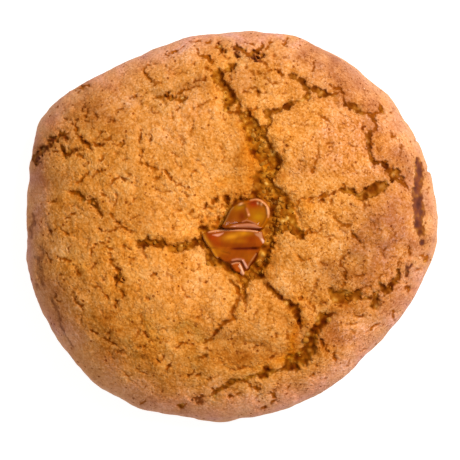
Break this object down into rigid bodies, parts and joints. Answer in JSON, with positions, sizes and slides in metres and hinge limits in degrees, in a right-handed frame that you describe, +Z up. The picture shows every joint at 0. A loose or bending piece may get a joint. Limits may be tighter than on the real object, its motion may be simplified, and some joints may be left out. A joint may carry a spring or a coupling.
{
  "type": "cracked-top biscuit with caramel pieces",
  "caption": "Round domed biscuit with a deeply cracked golden-brown top, and glossy hard caramel set in a crumbly hollow at its centre.",
  "frame": {"origin": "on the underside, below the middle of the biscuit's box", "axes": "+Z up out of the cracked top; +X along the longest way across; +Y towards the end of the long upper fissure"},
  "size_m": [0.075, 0.0708, 0.0196],
  "materials": {
    "crust": "baked biscuit crust, matte, golden brown, cracked",
    "caramel": "hard caramel, glossy, amber, slightly see-through"
  },
  "bodies": {
    "root": {"biscuit": "crust", "caramel_lower": "caramel", "caramel_upper": "caramel"}
  },
  "joints": []
}
